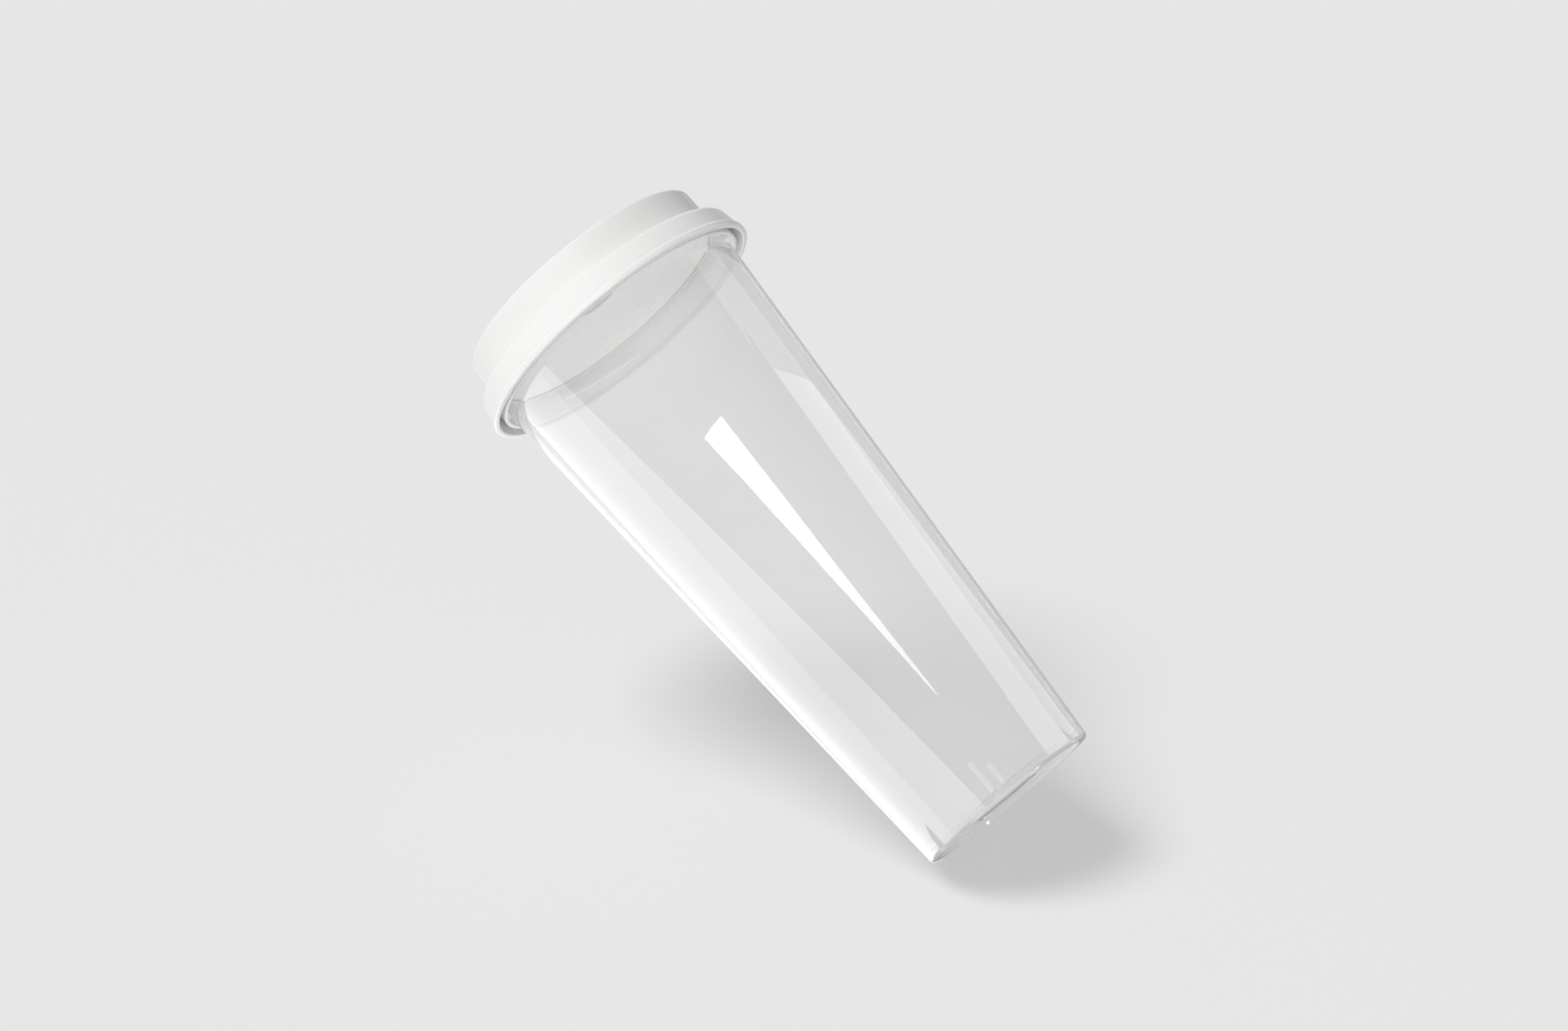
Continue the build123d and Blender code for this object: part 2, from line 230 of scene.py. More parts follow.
class StageSizes(bpy.types.PropertyGroup):
    """Camera and studio, in millimetres and degrees."""

    aim: bpy.props.FloatVectorProperty(
        name="Aim", description="Point that the camera looks at", default=(2.26, -1.06, 111.1))
    distance: length("Distance", 956.3, "From the camera to the aim")
    azimuth: number("Azimuth", 0.14, "Turn of the view about the bottle, degrees")
    elevation: number("Elevation", -9.80, "Height of the camera over the bottle's level, degrees")
    lean: number("Lean", 39.72, "How far the bottle leans to the left in view, degrees")
    lens: length("Lens", 71.38, "Focal length for a 36 mm wide sensor")
    floor_tilt: number("Floor tilt", 24.0, "How steeply the camera looks down on it, degrees")
    dome_level: number("Dome", 0.5, "Brightness of the dome as light")
    dome_spread: number("Dome spread", 0.38, "How much brighter the dome is on the left")
    fill_level: number("Fill", 0.25, "Brightness that the lamp below gives the lid's underside")
    sun_level: number("Sun", 0.39, "Brightness that the sun gives a white sheet")
    sun_slant: number("Sun slant", 14.0, "Lean of the sun towards the camera, degrees")
    sun_side: number("Sun side", 28.0, "How far the sun stands to the left, degrees")
    sun_spread: number("Sun spread", 27.0, "Apparent size of the sun, degrees")


GROUPS = {
    "shaker_cup": CupSizes,
    "shaker_thread": ThreadSizes,
    "shaker_lid": LidSizes,
    "shaker_cap": CapSizes,
    "shaker_finish": FinishColours,
    "shaker_stage": StageSizes,
}


def cup_wall_r(z):
    """Outer radius of the tapered wall at a height."""
    cup = bpy.context.scene.shaker_cup
    return cup.base_r + cup.taper * z


def neck_foot_z():
    """Height where the neck begins."""
    return RIM_Z - bpy.context.scene.shaker_cup.neck_h


def neck_r():
    """Outer radius of the neck."""
    return cup_wall_r(neck_foot_z()) - bpy.context.scene.shaker_cup.neck_step


def collar_r():
    """Inner radius of the lid's threaded collar."""
    thread = bpy.context.scene.shaker_thread
    return neck_r() + thread.depth + thread.play


def deck_z():
    """Height of the lid's deck, whose groove holds the seal ring."""
    lid = bpy.context.scene.shaker_lid
    return SEAL_TOP_Z - lid.groove + lid.deck


# ---------------------------------------------------------------- mesh helpers

def rounded(corners, closed):
    """Points of an outline through (radius, height, rounding) corners, arcs as short steps."""
    points = []
    count = len(corners)
    for i, (r, z, rounding) in enumerate(corners):
        corner = Vector((r, z))
        if rounding <= 0 or (not closed and i in (0, count - 1)):
            points.append(corner)
            continue
        before = Vector(corners[i - 1][:2])
        after = Vector(corners[(i + 1) % count][:2])
        to_before = (before - corner).normalized()
        to_after = (after - corner).normalized()
        half = to_before.angle(to_after) / 2
        centre = corner + (to_before + to_after).normalized() * rounding / sin(half)
        start = corner + to_before * rounding / tan(half) - centre
        end = corner + to_after * rounding / tan(half) - centre
        turn = atan2(start.x * end.y - start.y * end.x, start.dot(end))
        steps = max(3, ceil(abs(turn) / radians(8)))
        for step in range(steps + 1):
            points.append(centre + Matrix.Rotation(turn * step / steps, 2) @ start)
    if closed:
        points.append(points[0])
    return points


def link(data, name):
    """A new object at the origin that holds a mesh, a lamp or a camera."""
    made = bpy.data.objects.new(name, data)
    bpy.context.scene.collection.objects.link(made)
    return made


def from_work(work, name):
    """A new object that holds a bmesh, which is then freed."""
    mesh = bpy.data.meshes.new(name)
    work.to_mesh(mesh)
    work.free()
    return link(mesh, name)


def outline_object(points, name):
    """A chain of points in the XZ plane, for the turning tree."""
    mesh = bpy.data.meshes.new(name)
    edges = [(i, i + 1) for i in range(len(points) - 1)]
    mesh.from_pydata([(p.x * MM, 0, p.y * MM) for p in points], edges, [])
    return link(mesh, name)


def plain(made):
    """Turns an object's modifiers into a plain mesh and removes them."""
    bpy.context.view_layer.update()
    depsgraph = bpy.context.evaluated_depsgraph_get()
    mesh = bpy.data.meshes.new_from_object(made.evaluated_get(depsgraph))
    made.modifiers.clear()
    old = made.data
    made.data = mesh
    bpy.data.meshes.remove(old)
    return made


def tidy(made, fill_ends=False):
    """Welds doubles, closes open ends if asked and points every face outwards."""
    work = bmesh.new()
    work.from_mesh(made.data)
    bmesh.ops.remove_doubles(work, verts=work.verts, dist=1e-6)
    bmesh.ops.dissolve_degenerate(work, edges=work.edges, dist=1e-7)
    if fill_ends:
        bmesh.ops.holes_fill(work, edges=work.edges, sides=0)
    bmesh.ops.recalc_face_normals(work, faces=work.faces)
    if work.calc_volume(signed=True) < 0:
        bmesh.ops.reverse_faces(work, faces=work.faces)
    work.to_mesh(made.data)
    work.free()
    return made


def moved(made, y=0.0, z=0.0):
    """Moves a piece's mesh, in millimetres."""
    made.data.transform(Matrix.Translation((0, y * MM, z * MM)))
    return made


def facing_front(made):
    """Turns a piece that was drawn with the spout towards +Y, so that it faces -Y."""
    made.data.transform(Matrix.Rotation(pi, 4, "Z"))
    return made


def shade(made, sharp_over=35.0):
    """Smooth shading with edges kept sharp over an angle in degrees."""
    made.data.shade_smooth()
    made.data.set_sharp_from_angle(angle=radians(sharp_over))
    return made


def combine(made, others, operation):
    """Joins or cuts with other objects by an exact Boolean, then removes them."""
    for other in others:
        boolean = made.modifiers.new(operation, "BOOLEAN")
        boolean.operation = operation
        boolean.solver = "EXACT"
        boolean.object = other
    plain(made)
    for other in others:
        bpy.data.objects.remove(other)
    return tidy(made)


def block(low, high, name, bevel=0.0):
    """A block between two corners in millimetres, with its edges rounded."""
    work = bmesh.new()
    bmesh.ops.create_cube(work, size=1.0)
    for vert in work.verts:
        for axis in range(3):
            vert.co[axis] = (low[axis] if vert.co[axis] < 0 else high[axis]) * MM
    if bevel > 0:
        bmesh.ops.bevel(work, geom=work.edges, offset=bevel * MM, segments=3, affect="EDGES")
    return from_work(work, name)


def plate(outline, x_low, x_high, name):
    """A plate with its outline given as (y, z) points, between two places along X."""
    work = bmesh.new()
    side = [work.verts.new((x_low * MM, y * MM, z * MM)) for y, z in outline]
    face = work.faces.new(side)
    grown = bmesh.ops.extrude_face_region(work, geom=[face])["geom"]
    far = [g for g in grown if isinstance(g, bmesh.types.BMVert)]
    bmesh.ops.translate(work, verts=far, vec=((x_high - x_low) * MM, 0, 0))
    return tidy(from_work(work, name))


def rod(radius, x_low, x_high, y, z, name, segments=64):
    """A round bar along X, in millimetres."""
    work = bmesh.new()
    across = Matrix.Rotation(pi / 2, 4, "Y")
    place = Matrix.Translation(Vector(((x_low + x_high) / 2, y, z)) * MM)
    bmesh.ops.create_cone(work, cap_ends=True, segments=segments, radius1=radius * MM,
                          radius2=radius * MM, depth=(x_high - x_low) * MM, matrix=place @ across)
    return from_work(work, name)


# ---------------------------------------------------------------- Geometry Nodes

def add(tree, kind, inputs=None, **settings):
    """Adds a node. An input is a plain value, a socket, or a node that gives its first output."""
    made = tree.nodes.new(kind)
    for name, value in settings.items():
        setattr(made, name, value)
    for name, value in (inputs or {}).items():
        if isinstance(value, bpy.types.Node):
            value = value.outputs[0]
        if isinstance(value, bpy.types.NodeSocket):
            tree.links.new(value, made.inputs[name])
        else:
            made.inputs[name].default_value = value
    return made


def new_tree(name, sockets):
    """A Geometry Nodes tree that takes the named sockets, and those sockets inside it."""
    tree = bpy.data.node_groups.new(name, "GeometryNodeTree")
    for socket, kind in sockets.items():
        tree.interface.new_socket(socket, in_out="INPUT", socket_type="NodeSocket" + kind)
    tree.interface.new_socket("Mesh", in_out="OUTPUT", socket_type="NodeSocketGeometry")
    return tree, add(tree, "NodeGroupInput").outputs


def close_tree(tree, copies, material):
    """Makes a tree's copies real, gives them their finish and hands them out."""
    real = add(tree, "GeometryNodeRealizeInstances", {"Geometry": copies})
    done = add(tree, "GeometryNodeSetMaterial", {"Geometry": real, "Material": material})
    add(tree, "NodeGroupOutput", {"Mesh": done})
    return tree


def turning_tree():
    """Sweeps an outline about Z, with a rise per turn, and repeats it round the axis."""
    tree, given = new_tree("Turned section", {
        "Outline": "Geometry", "Segments": "Int", "Sweep": "Float", "Rise per turn": "Float",
        "Copies": "Int", "Finish": "Material"})
    # A grid with a row for each point of the outline and a column for each step round.
    size = add(tree, "GeometryNodeAttributeDomainSize", {"Geometry": given["Outline"]})
    columns = add(tree, "ShaderNodeMath", {0: given["Segments"], 1: 1.0}, operation="ADD")
    grid = add(tree, "GeometryNodeMeshGrid", {
        "Vertices X": size.outputs["Point Count"], "Vertices Y": columns})
    index = add(tree, "GeometryNodeInputIndex")
    row = add(tree, "ShaderNodeMath", {0: index, 1: columns}, operation="DIVIDE")
    row = add(tree, "ShaderNodeMath", {0: row}, operation="FLOOR")
    column = add(tree, "ShaderNodeMath", {0: index, 1: columns}, operation="MODULO")
    # Each point of the outline goes round by its column's angle and up by the rise.
    sample = add(tree, "GeometryNodeSampleIndex", {
        "Geometry": given["Outline"], "Value": add(tree, "GeometryNodeInputPosition"),
        "Index": row}, data_type="FLOAT_VECTOR")
    point = add(tree, "ShaderNodeSeparateXYZ", {0: sample}).outputs
    share = add(tree, "ShaderNodeMath", {0: column, 1: given["Segments"]}, operation="DIVIDE")
    angle = add(tree, "ShaderNodeMath", {0: share, 1: given["Sweep"]}, operation="MULTIPLY")
    turns = add(tree, "ShaderNodeMath", {0: angle, 1: 2 * pi}, operation="DIVIDE")
    target = {"Z": add(tree, "ShaderNodeMath", {
        0: turns, 1: given["Rise per turn"], 2: point["Z"]}, operation="MULTIPLY_ADD")}
    for axis, operation in (("X", "COSINE"), ("Y", "SINE")):
        trig = add(tree, "ShaderNodeMath", {0: angle}, operation=operation)
        target[axis] = add(tree, "ShaderNodeMath", {0: trig, 1: point["X"]}, operation="MULTIPLY")
    swept = add(tree, "GeometryNodeSetPosition", {
        "Geometry": grid, "Position": add(tree, "ShaderNodeCombineXYZ", target)})
    welded = add(tree, "GeometryNodeMergeByDistance", {"Geometry": swept, "Distance": 1e-6})
    # The copies stand evenly round the axis.
    spots = add(tree, "GeometryNodePoints", {"Count": given["Copies"]})
    step = add(tree, "ShaderNodeMath", {0: 2 * pi, 1: given["Copies"]}, operation="DIVIDE")
    spin = add(tree, "ShaderNodeMath", {0: step, 1: index}, operation="MULTIPLY")
    turn = add(tree, "FunctionNodeEulerToRotation", {
        0: add(tree, "ShaderNodeCombineXYZ", {"Z": spin})})
    copies = add(tree, "GeometryNodeInstanceOnPoints", {
        "Points": spots, "Instance": welded, "Rotation": turn})
    return close_tree(tree, copies, given["Finish"])


def row_tree():
    """Repeats a bar along Y, evenly spaced about the middle."""
    tree, given = new_tree("Row of bars", {
        "Bar": "Geometry", "Count": "Int", "Spacing": "Float", "Finish": "Material"})
    last = add(tree, "ShaderNodeMath", {0: given["Count"], 1: 1.0}, operation="SUBTRACT")
    middle = add(tree, "ShaderNodeMath", {0: last, 1: 2.0}, operation="DIVIDE")
    steps = add(tree, "ShaderNodeMath", {
        0: add(tree, "GeometryNodeInputIndex"), 1: middle}, operation="SUBTRACT")
    along = add(tree, "ShaderNodeMath", {0: steps, 1: given["Spacing"]}, operation="MULTIPLY")
    spots = add(tree, "GeometryNodePoints", {
        "Count": given["Count"], "Position": add(tree, "ShaderNodeCombineXYZ", {"Y": along})})
    copies = add(tree, "GeometryNodeInstanceOnPoints", {"Points": spots, "Instance": given["Bar"]})
    return close_tree(tree, copies, given["Finish"])


def grow(made, tree, wanted):
    """Gives an object's mesh to a Geometry Nodes tree and keeps the mesh that comes out."""
    modifier = made.modifiers.new(tree.name, "NODES")
    modifier.node_group = tree
    for item in tree.interface.items_tree:
        if item.item_type == "SOCKET" and item.in_out == "INPUT" and item.name in wanted:
            modifier[item.identifier] = wanted[item.name]
    return plain(made)


def turned(corners, name, material, segments=192, closed=False, sweep=360.0, rise=0.0, copies=1):
    """A solid that the turning tree sweeps from an outline's (radius, height, rounding) corners.

    sweep is in degrees and rise in millimetres per turn.
    """
    made = outline_object(rounded(corners, closed), name)
    tree = bpy.data.node_groups.get("Turned section") or turning_tree()
    grow(made, tree, {"Segments": segments, "Sweep": radians(sweep), "Rise per turn": rise * MM,
                      "Copies": copies, "Finish": material})
    return tidy(made, fill_ends=sweep < 360.0)


def round_spout(corners, name, material, segments=96):
    """A turned solid that stands round the spout's axis instead of the bottle's."""
    return moved(turned(corners, name, material, segments), SPOUT_Y)


def row_of_bars(bar, count, spacing, material):
    """The bar repeated along Y by the row tree. spacing is in millimetres."""
    tree = bpy.data.node_groups.get("Row of bars") or row_tree()
    return grow(bar, tree, {"Count": count, "Spacing": spacing * MM, "Finish": material})


def thread_lugs(inner, outer, low_z, name, material):
    """The screw's lugs. inner and outer are (radius, width) of the section's two sides."""
    thread = bpy.context.scene.shaker_thread
    corners = [(inner[0], low_z - inner[1] / 2, 0), (outer[0], low_z - outer[1] / 2, 0),
               (outer[0], low_z + outer[1] / 2, 0), (inner[0], low_z + inner[1] / 2, 0)]
    return turned(corners, name, material, segments=20, closed=True, sweep=thread.arc,
                  rise=thread.lead, copies=thread.starts)


# ---------------------------------------------------------------- finishes

def linear(hex_code):
    """Linear colour from an sRGB hex value."""
    channels = [int(hex_code[i:i + 2], 16) / 255 for i in (0, 2, 4)]
    return tuple(c / 12.92 if c <= 0.04045 else ((c + 0.055) / 1.055) ** 2.4
                 for c in channels) + (1.0,)


def new_finish(name, maker, *settings):
    """A material whose surface the maker builds in its tree."""
    material = bpy.data.materials.new(name)
    material.use_nodes = True
    tree = material.node_tree
    tree.nodes.clear()
    add(tree, "ShaderNodeOutputMaterial", {"Surface": maker(tree, *settings)})
    return material


def drift(tree, size_mm, detail):
    """Soft noise on Object coordinates, in patches of a real size in millimetres."""
    place = add(tree, "ShaderNodeTexCoord").outputs["Object"]
    sized = add(tree, "ShaderNodeMapping", {"Vector": place, "Scale": (1 / (size_mm * MM),) * 3})
    return add(tree, "ShaderNodeTexNoise", {"Vector": sized, "Scale": 1.0, "Detail": detail})


def drifting(tree, size_mm, low, high, detail=4.0):
    """A value that drifts between two others with soft noise of a real size."""
    return add(tree, "ShaderNodeMapRange", {
        "Value": drift(tree, size_mm, detail), "To Min": low, "To Max": high})


def waviness(tree, size_mm, height_mm, detail=2.0):
    """A bump normal from soft noise of a real size."""
    return add(tree, "ShaderNodeBump", {
        "Height": drift(tree, size_mm, detail), "Distance": height_mm * MM})


def mottled(tree, hex_code, size_mm, spread):
    """A colour that varies faintly in brightness, as moulded plastic does."""
    base = linear(hex_code)
    dark = tuple(c * (1 - spread) for c in base[:3]) + (1.0,)
    return add(tree, "ShaderNodeMix", {
        0: drift(tree, size_mm, 1.0), 6: dark, 7: base}, data_type="RGBA").outputs[2]


def see_through(tree, colours, haze, rough):
    """A clear plastic. haze is its lowest and highest share of milk, rough is its roughness."""
    # The wall is thin and its two faces run side by side, so it hardly bends what is behind it:
    # a low IOR does the bending and the coat, at the plastic's own IOR, does the mirroring.
    clear = add(tree, "ShaderNodeBsdfPrincipled", {
        "Base Color": linear(colours.clear), "IOR": 1.04, "Roughness": 0.02,
        "Transmission Weight": 1.0, "Coat Weight": 1.0, "Coat IOR": 1.57, "Coat Roughness": 0.01})
    milk = add(tree, "ShaderNodeBsdfPrincipled", {
        "Base Color": linear(colours.haze), "Specular IOR Level": 0.0,
        "Roughness": drifting(tree, 30.0, *rough)})
    body = add(tree, "ShaderNodeMixShader", {
        0: drifting(tree, 40.0, *haze, detail=2.0), 1: clear, 2: milk})
    # Lamps shine through the thin walls, so what is inside or behind isn't left in the dark.
    through = add(tree, "ShaderNodeBsdfTransparent", {"Color": linear(colours.shadow)})
    path = add(tree, "ShaderNodeLightPath")
    return add(tree, "ShaderNodeMixShader", {
        0: path.outputs["Is Shadow Ray"], 1: body, 2: through})


def clear_copolyester(tree, colours):
    """Clear copolyester from a polished mould: glossy, with a faint milkiness that drifts."""
    return see_through(tree, colours, (0.2, 0.23), (0.22, 0.3))


def frosted_copolyester(tree, colours):
    """Clear copolyester from an eroded mould: the fins scatter light and look pale."""
    return see_through(tree, colours, (0.75, 0.85), (0.4, 0.5))


def white_polypropylene(tree, colours):
    """White polypropylene, satin from the mould: soft gloss, with long faint sink marks."""
    return add(tree, "ShaderNodeBsdfPrincipled", {
        "Base Color": mottled(tree, colours.white, 30.0, 0.02),
        "Normal": waviness(tree, 45.0, 0.02, detail=0.0),
        "Roughness": drifting(tree, 25.0, 0.24, 0.30), "IOR": 1.49})


def matt_silicone(tree, colours):
    """White silicone rubber from a spark-eroded mould: matt, with a fine grain."""
    return add(tree, "ShaderNodeBsdfPrincipled", {
        "Base Color": mottled(tree, colours.silicone, 2.0, 0.05),
        "Normal": waviness(tree, 0.4, 0.006),
        "Roughness": drifting(tree, 2.0, 0.5, 0.62), "IOR": 1.41})


def drawn_steel(tree, colours):
    """Drawn stainless wire: bright metal with fine lines along its length."""
    # Lines 0.2 mm wide and about 17 mm long, coarser than the real ones so that they show.
    lines = add(tree, "ShaderNodeMapping", {
        "Vector": add(tree, "ShaderNodeTexCoord").outputs["Object"],
        "Scale": (60.0, 5000.0, 5000.0)})
    grain = add(tree, "ShaderNodeTexNoise", {"Vector": lines, "Scale": 1.0, "Detail": 3.0})
    return add(tree, "ShaderNodeBsdfPrincipled", {
        "Base Color": linear(colours.steel), "Metallic": 1.0,
        "Roughness": add(tree, "ShaderNodeMapRange", {
            "Value": grain, "To Min": 0.22, "To Max": 0.38}),
        "Normal": add(tree, "ShaderNodeBump", {"Height": grain, "Distance": 0.004 * MM})})


MAKERS = {
    "Polished clear copolyester": clear_copolyester,
    "Frosted clear copolyester": frosted_copolyester,
    "Satin white polypropylene": white_polypropylene,
    "Matt white silicone rubber": matt_silicone,
    "Drawn stainless steel": drawn_steel,
}


def finish(name):
    """A finish by name, made when it is first asked for."""
    colours = bpy.context.scene.shaker_finish
    return bpy.data.materials.get(name) or new_finish(name, MAKERS[name], colours)


def wear(made, name):
    """Gives a piece one finish all over."""
    made.data.materials.clear()
    made.data.materials.append(finish(name))
    for face in made.data.polygons:
        face.material_index = 0
    return made


# ---------------------------------------------------------------- pieces

class SHAKER_OT_cup(bpy.types.Operator):
    """Makes the clear cup: foot ring, tapered wall, threaded neck and mixing fins"""

    bl_idname = "shaker.cup"
    bl_label = "Clear cup"

    def execute(self, context):
        size = context.scene.shaker_cup
        thread = context.scene.shaker_thread
        clear = finish("Polished clear copolyester")
        ring_r = size.base_r - size.ring_w
        floor_z = size.recess + size.floor
        inner_neck = neck_r() - size.neck_wall
        foot_z = neck_foot_z()
        # From the dimple under the floor out to the foot ring, up the wall, over the rim and down.
        corners = [
            (0, size.recess + 0.5, 0), (2.2, size.recess + 0.45, 0.5), (3.0, size.recess, 0.4),
            (ring_r, size.recess, 0.8), (ring_r, 0, 0.5), (size.base_r, 0, size.corner_r),
            (cup_wall_r(foot_z), foot_z, 0.15), (neck_r(), foot_z, 0.15),
            (neck_r(), RIM_Z, 0.5), (inner_neck, RIM_Z, 0.5), (inner_neck, foot_z, 0.6),
            (cup_wall_r(foot_z) - size.wall, foot_z - 2.0, 0.6),
            (cup_wall_r(floor_z) - size.wall, floor_z, size.floor_r), (0, floor_z, 0),
        ]
        cup = turned(corners, "cup_shell", clear)
        root = (neck_r() - SINK, CUP_LUG_ROOT)
        crest = (neck_r() + thread.depth, CUP_LUG_CREST)
        lugs = thread_lugs(root, crest, RIM_Z - thread.below_rim, "cup_lugs", clear)
        left = min(x - t / 2 for x, t, _ in MIXING_FINS)
        right = max(x + t / 2 for x, t, _ in MIXING_FINS)
        sunk_z = floor_z - size.floor / 4
        half = size.fin_depth / 2
        added = [lugs, block((left, -half, sunk_z), (right, half, floor_z + 0.8), "fin_pad", 0.2)]
        for x, thick, high in MIXING_FINS:
            added.append(block((x - thick / 2, -half, sunk_z),
                               (x + thick / 2, half, floor_z + high), "fin", 0.25))
        combine(cup, added, "UNION")
        cuts = []
        for side in (1, -1):
            # From 8 mm inside the foot's edge to 3 mm outside it; tidy() mends the mirrored one.
            notch = block((size.base_r * side - side * 8, -size.notch_w / 2, -1),
                          (size.base_r * side + side * 3, size.notch_w / 2, size.notch_h),
                          "notch")
            notch.data.transform(Matrix.Rotation(radians(NOTCH_TURN), 4, "Z"))
            cuts.append(tidy(notch))
        combine(cup, cuts, "DIFFERENCE")
        shade(wear(cup, "Polished clear copolyester"))
        cup.data.materials.append(finish("Frosted clear copolyester"))
        # The fins' faces, and those of the pad under them, are frosted.
        near = 0.1
        for face in cup.data.polygons:
            x, y, z = face.center / MM
            if left - near < x < right + near and abs(y) < half + near and z > floor_z + near:
                face.material_index = 1
        # Soft light passes the thin clear wall whole; the sun's shadow rays are dimmed by it.
        cup.visible_diffuse = False
        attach(cup, "cup")
        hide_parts("cup")
        return {"FINISHED"}


class SHAKER_OT_lid(bpy.types.Operator):
    """Makes the white lid: skirt, threaded collar, deck, drum, spout and hinge ears"""

    bl_idname = "shaker.lid"
    bl_label = "White lid"

    def execute(self, context):
        size = context.scene.shaker_lid
        cup = context.scene.shaker_cup
        cap = context.scene.shaker_cap
        thread = context.scene.shaker_thread
        white = finish("Satin white polypropylene")
        deck = deck_z()
        under = deck - size.deck
        lip_top = SKIRT_BOTTOM_Z + size.lip_h
        skirt_r = LIP_R - size.lip_proud
        shoulder_r = skirt_r - size.lean
        drum_r = neck_r() + size.drum_out
        groove_r = neck_r() - cup.neck_wall - SEAL_INSET - SEAL_PLAY
        collar_out = collar_r() + size.collar
        collar_z = SKIRT_BOTTOM_Z + size.collar_gap
        gap_top = under - 1.2
        # Out along the underside, round the groove, the collar and the gap behind it, down the
        # skirt's inside, up its outside to the shoulder and the drum, and in over the deck.
        corners = [
            (0, under, 0), (groove_r, under, 0.15), (groove_r, SEAL_TOP_Z, 0),
            (collar_r(), SEAL_TOP_Z, 0), (collar_r(), collar_z, 0.3), (collar_out, collar_z, 0.3),
            (collar_out, gap_top, 0.3), (shoulder_r - size.wall + 0.4, gap_top, 0.2),
            (skirt_r - size.wall, lip_top, 1.0), (LIP_R - size.wall, SKIRT_BOTTOM_Z, 0.4),
            (LIP_R, SKIRT_BOTTOM_Z, 0.6), (LIP_R, lip_top - size.lip_proud, 0.5),
            (skirt_r, lip_top, 0.5), (shoulder_r, deck, size.shoulder_r), (drum_r, deck, 0.5),
            (drum_r - size.drum_draft, deck + size.drum_h, 0.96),
            (drum_r - size.drum_wall, deck + size.drum_h, 0.5),
            (drum_r - size.drum_wall, deck, 0.8), (0, deck, 0),
        ]
        lid = turned(corners, "lid_shell", white)
        crest = (neck_r() + thread.play, LID_LUG_CREST)
        root = (collar_r() + SINK, LID_LUG_ROOT)
        lugs = thread_lugs(crest, root, RIM_Z - thread.below_rim - thread.drop, "lid_lugs", white)
        spout_top = deck + size.spout_h
        sunk_z = under + size.deck / 3
        spout = round_spout([
            (0, sunk_z, 0), (size.spout_foot, sunk_z, 0),
            (size.spout_foot + 0.8, deck - 0.2, 0), (size.spout_foot, deck + 0.8, 0.9),
            (size.spout_top, spout_top, 0.6), (0, spout_top, 0)], "spout", white)
        added = [lugs, spout]
        ear_x = cap.arm_w / 2 + EAR_GAP
        for low in (-ear_x - size.ear_t, ear_x):
            outline = self.ear_outline(size.ear_r, deck - SINK)
            added.append(plate(outline, low, low + size.ear_t, "ear"))
        combine(lid, added, "UNION")
        bore = round_spout([
            (0, under - PAST, 0), (size.spout_bore, under - PAST, 0),
            (size.spout_bore, spout_top + PAST, 0), (0, spout_top + PAST, 0)], "bore", white)
        pin_hole = rod(PIN_SEAT_R, -ear_x * 2, ear_x * 2, HINGE_Y, HINGE_Z, "pin_hole")
        combine(lid, [bore, pin_hole], "DIFFERENCE")
        shade(wear(facing_front(lid), "Satin white polypropylene"))
        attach(lid, "lid")
        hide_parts("lid")
        return {"FINISHED"}

    def ear_outline(self, ear_r, foot_z):
        """An upright strip with a round top about the hinge, as (y, z) points."""
        steps = 24
        angles = [pi * step / steps for step in range(steps + 1)]
        top = [(HINGE_Y - ear_r * cos(angle), HINGE_Z + ear_r * sin(angle)) for angle in angles]
        return [(HINGE_Y - ear_r, foot_z)] + top + [(HINGE_Y + ear_r, foot_z)]


class SHAKER_OT_seals(bpy.types.Operator):
    """Makes the silicone ring on the rim and the plug under the flip cap"""

    bl_idname = "shaker.seals"
    bl_label = "Silicone seals"

    def execute(self, context):
        cup = context.scene.shaker_cup
        lid = context.scene.shaker_lid
        cap = context.scene.shaker_cap
        silicone = finish("Matt white silicone rubber")
        inner = neck_r() - cup.neck_wall - SEAL_INSET
        outer = collar_r() - SEAL_PLAY
        edge = 0.25
        ring = turned([(inner, RIM_Z, edge), (outer, RIM_Z, edge), (outer, SEAL_TOP_Z, edge),
                       (inner, SEAL_TOP_Z, edge)], "rim_seal", silicone, closed=True)
        mouth = PLUG_BOTTOM_Z + PLUG_DEPTH
        dish = mouth - PLUG_DISH_DEPTH
        disc = cap.cavity_r - 0.5
        plug = round_spout([
            (0, dish, 0), (3.4, dish, 0.4), (4.4, mouth - PLUG_DEPTH, 0.4),
            (lid.spout_bore - 2.2, mouth - PLUG_DEPTH, 0.6), (lid.spout_bore - 0.5, mouth, 0),
            (disc, mouth, 0.2), (disc, PLUG_TOP_Z, 0.2), (0, PLUG_TOP_Z, 0)],
            "spout_plug", silicone)
        for piece, body, node in ((ring, "seal_ring", "lid_seal"),
                                  (plug, "flip_cap", "spout_seal")):
            shade(wear(facing_front(piece), "Matt white silicone rubber"))
            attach(piece, body)
            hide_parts(node)
        return {"FINISHED"}


